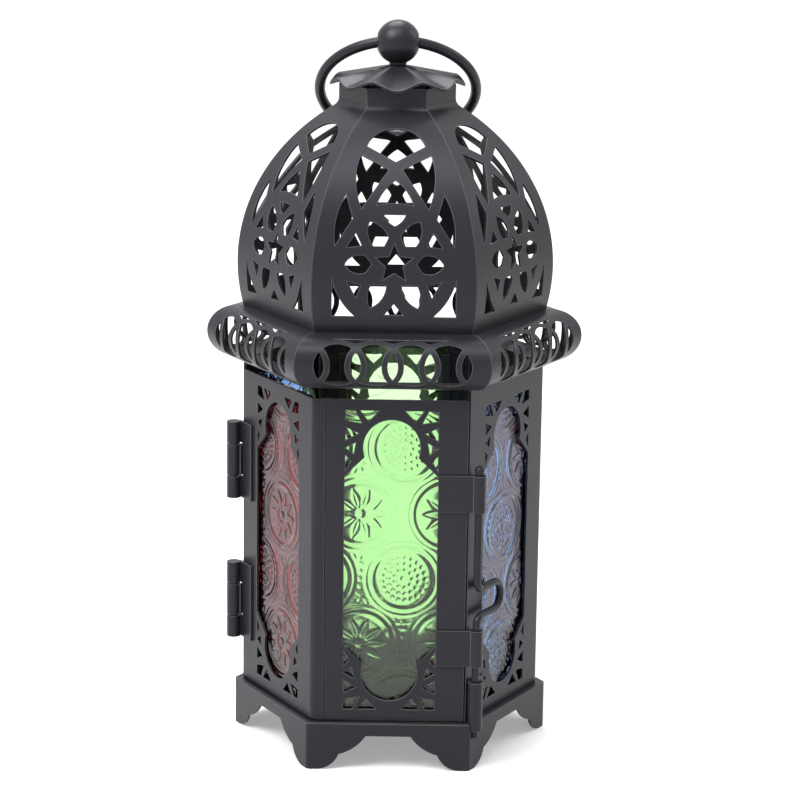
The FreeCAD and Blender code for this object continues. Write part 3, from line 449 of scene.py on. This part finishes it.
def buildPane(side, turn, shift):
    node = "pane_" + side
    low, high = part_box("pane_front")
    width = (high.x - low.x) / mm
    tall = (high.z - low.z) / mm
    columns = round(width / relief["cell"])
    rows = round(tall / relief["cell"])
    bpy.ops.object.select_all(action="DESELECT")
    bpy.ops.mesh.primitive_grid_add(x_subdivisions=columns, y_subdivisions=rows, size=1)
    pane = bpy.context.object
    pane.name = node + "_pressed"
    across, along, _ = readMesh(pane.data.vertices, "co", 3).T
    x = across * width
    up = (along + 0.5) * tall
    nearest = np.minimum(width / 2 - np.abs(x), np.minimum(up, tall - up))
    fade = np.clip((nearest - relief["edge"]) / relief["fade"], 0, 1)
    raised = pressedHeight(x - shift[0], up - tall / 2 - shift[1]) * fade
    face = low.y + (relief["depth"] - raised) * mm
    placed = np.stack([x * mm, face, low.z + up * mm], axis=1)
    pane.data.vertices.foreach_set("co", placed.ravel())
    pane.data.update()
    takeUp(pane)
    bpy.ops.object.mode_set(mode="EDIT")
    bpy.ops.mesh.select_all(action="SELECT")
    bpy.ops.mesh.region_to_loop()
    plain = high.y - low.y - relief["depth"] * mm
    bpy.ops.mesh.extrude_edges_move(TRANSFORM_OT_translate={"value": (0, plain, 0)})
    bpy.ops.mesh.edge_face_add()
    bpy.ops.mesh.select_all(action="SELECT")
    bpy.ops.mesh.normals_make_consistent(inside=False)
    bpy.ops.object.mode_set(mode="OBJECT")
    bpy.ops.object.shade_smooth_by_angle(angle=math.radians(relief["crease"]))
    pane.rotation_euler.z = math.radians(turn)
    bpy.ops.object.transform_apply(location=False, rotation=True, scale=False)
    pane.data.materials.clear()
    pane.data.materials.append(glasses[slotOf[node]])
    settle(pane, bodyOf[node], node)


for side, turn in sideTurns.items():
    buildPane(side, turn, patternShift[side])
print("panes pressed")


# stage

studio = {"floorSize": 8.0, "floorTone": 0.70, "whiteFrom": 0.10, "whiteTo": 0.90, "nearGlow": 0.32,
          "farGlow": 0.60, "ambient": 0.55, "shownWhite": 1.0,
          "floorRough": 0.9, "floorGloss": 0.1}


def seenWhite(tree, x, y):  # 1 for the rays that should meet the white backdrop
    path = addNode(tree, "ShaderNodeLightPath", x, y)
    either = mathOn(tree, "MAXIMUM", path.outputs["Is Camera Ray"], path.outputs["Is Glossy Ray"], x + 200, y)
    return mathOn(tree, "MAXIMUM", either, path.outputs["Is Transmission Ray"], x + 400, y)


def buildFloor():
    bpy.ops.object.select_all(action="DESELECT")
    bpy.ops.mesh.primitive_plane_add(size=studio["floorSize"])
    floor = bpy.context.object
    floor.name = "studioFloor"
    material, tree, shader = newMaterial("studioFloor")
    tone = studio["floorTone"]
    shader.inputs["Base Color"].default_value = (tone, tone, tone, 1)
    shader.inputs["Roughness"].default_value = studio["floorRough"]
    shader.inputs["Specular IOR Level"].default_value = studio["floorGloss"]
    coords = addNode(tree, "ShaderNodeTexCoord", -1100, 0).outputs["Object"]
    away = addNode(tree, "ShaderNodeVectorMath", -900, 0, operation="LENGTH")
    tree.links.new(coords, away.inputs[0])
    glow = addNode(tree, "ShaderNodeMapRange", -700, 0, interpolation_type="SMOOTHSTEP")
    glow.inputs["From Min"].default_value = studio["whiteFrom"]
    glow.inputs["From Max"].default_value = studio["whiteTo"]
    glow.inputs["To Min"].default_value = studio["nearGlow"]
    glow.inputs["To Max"].default_value = studio["farGlow"]
    tree.links.new(away.outputs["Value"], glow.inputs["Value"])
    shown = mathOn(tree, "MULTIPLY", glow.outputs["Result"], seenWhite(tree, -1100, -300), -300, -100)
    shader.inputs["Emission Color"].default_value = (1, 1, 1, 1)
    tree.links.new(shown, shader.inputs["Emission Strength"])
    floor.data.materials.append(material)


def buildWorld():
    world = bpy.data.worlds.new("studioWorld")
    bpy.context.scene.world = world
    world.use_nodes = True
    tree = world.node_tree
    background = tree.nodes["Background"]
    background.inputs["Color"].default_value = (1, 1, 1, 1)
    strength = addNode(tree, "ShaderNodeMapRange", -200, -200)
    strength.inputs["To Min"].default_value = studio["ambient"]
    strength.inputs["To Max"].default_value = studio["shownWhite"]
    tree.links.new(seenWhite(tree, -900, -200), strength.inputs["Value"])
    tree.links.new(strength.outputs["Result"], background.inputs["Strength"])


softboxes = {  # place, aim, size across and up, watts
    "keyBox": ((-0.50, -0.42, 0.86), (0, 0, 0.18), 0.6, 0.5, 10.5),
    "rightBox": ((0.70, 0.18, 0.60), (0, 0, 0.14), 0.36, 0.5, 1.4),
    "topBox": ((-0.08, 0.32, 0.85), (0, 0, 0.14), 0.5, 0.5, 5.5),
    "overBox": ((-0.04, -0.38, 0.90), (0, 0, 0.16), 0.45, 0.4, 2.6),
}


def buildSoftboxes():
    for name, (place, aim, across, up, watts) in softboxes.items():
        bpy.ops.object.light_add(type="AREA", location=place)
        lamp = bpy.context.object
        lamp.name = name
        lamp.rotation_euler = (Vector(aim) - Vector(place)).to_track_quat("-Z", "Y").to_euler()
        lamp.data.shape = "RECTANGLE"
        lamp.data.size = across
        lamp.data.size_y = up
        lamp.data.energy = watts


photoView = {"distance": 0.86625, "azimuth": 0.379, "elevation": 13.127, "roll": 0.770, "aimHeight": 0.10442,
             "lens": 127.156, "sensor": 36, "shiftX": 0.00824, "clip": (0.01, 50)}


def buildCamera():
    azimuth = math.radians(photoView["azimuth"])
    elevation = math.radians(photoView["elevation"])
    back = Vector((math.sin(azimuth) * math.cos(elevation), -math.cos(azimuth) * math.cos(elevation),
                   math.sin(elevation)))
    bpy.ops.object.camera_add(location=Vector((0, 0, photoView["aimHeight"])) + back * photoView["distance"])
    camera = bpy.context.object
    camera.name = "photoCamera"
    rolled = Quaternion((0, 0, 1), math.radians(photoView["roll"]))
    camera.rotation_euler = ((-back).to_track_quat("-Z", "Y") @ rolled).to_euler()
    camera.data.lens = photoView["lens"]
    camera.data.sensor_width = photoView["sensor"]
    camera.data.shift_x = photoView["shiftX"]
    camera.data.clip_start, camera.data.clip_end = photoView["clip"]
    bpy.context.scene.camera = camera


buildFloor()
buildWorld()
buildSoftboxes()
buildCamera()
bpy.context.scene.view_settings.view_transform = "Standard"
print("stage set")
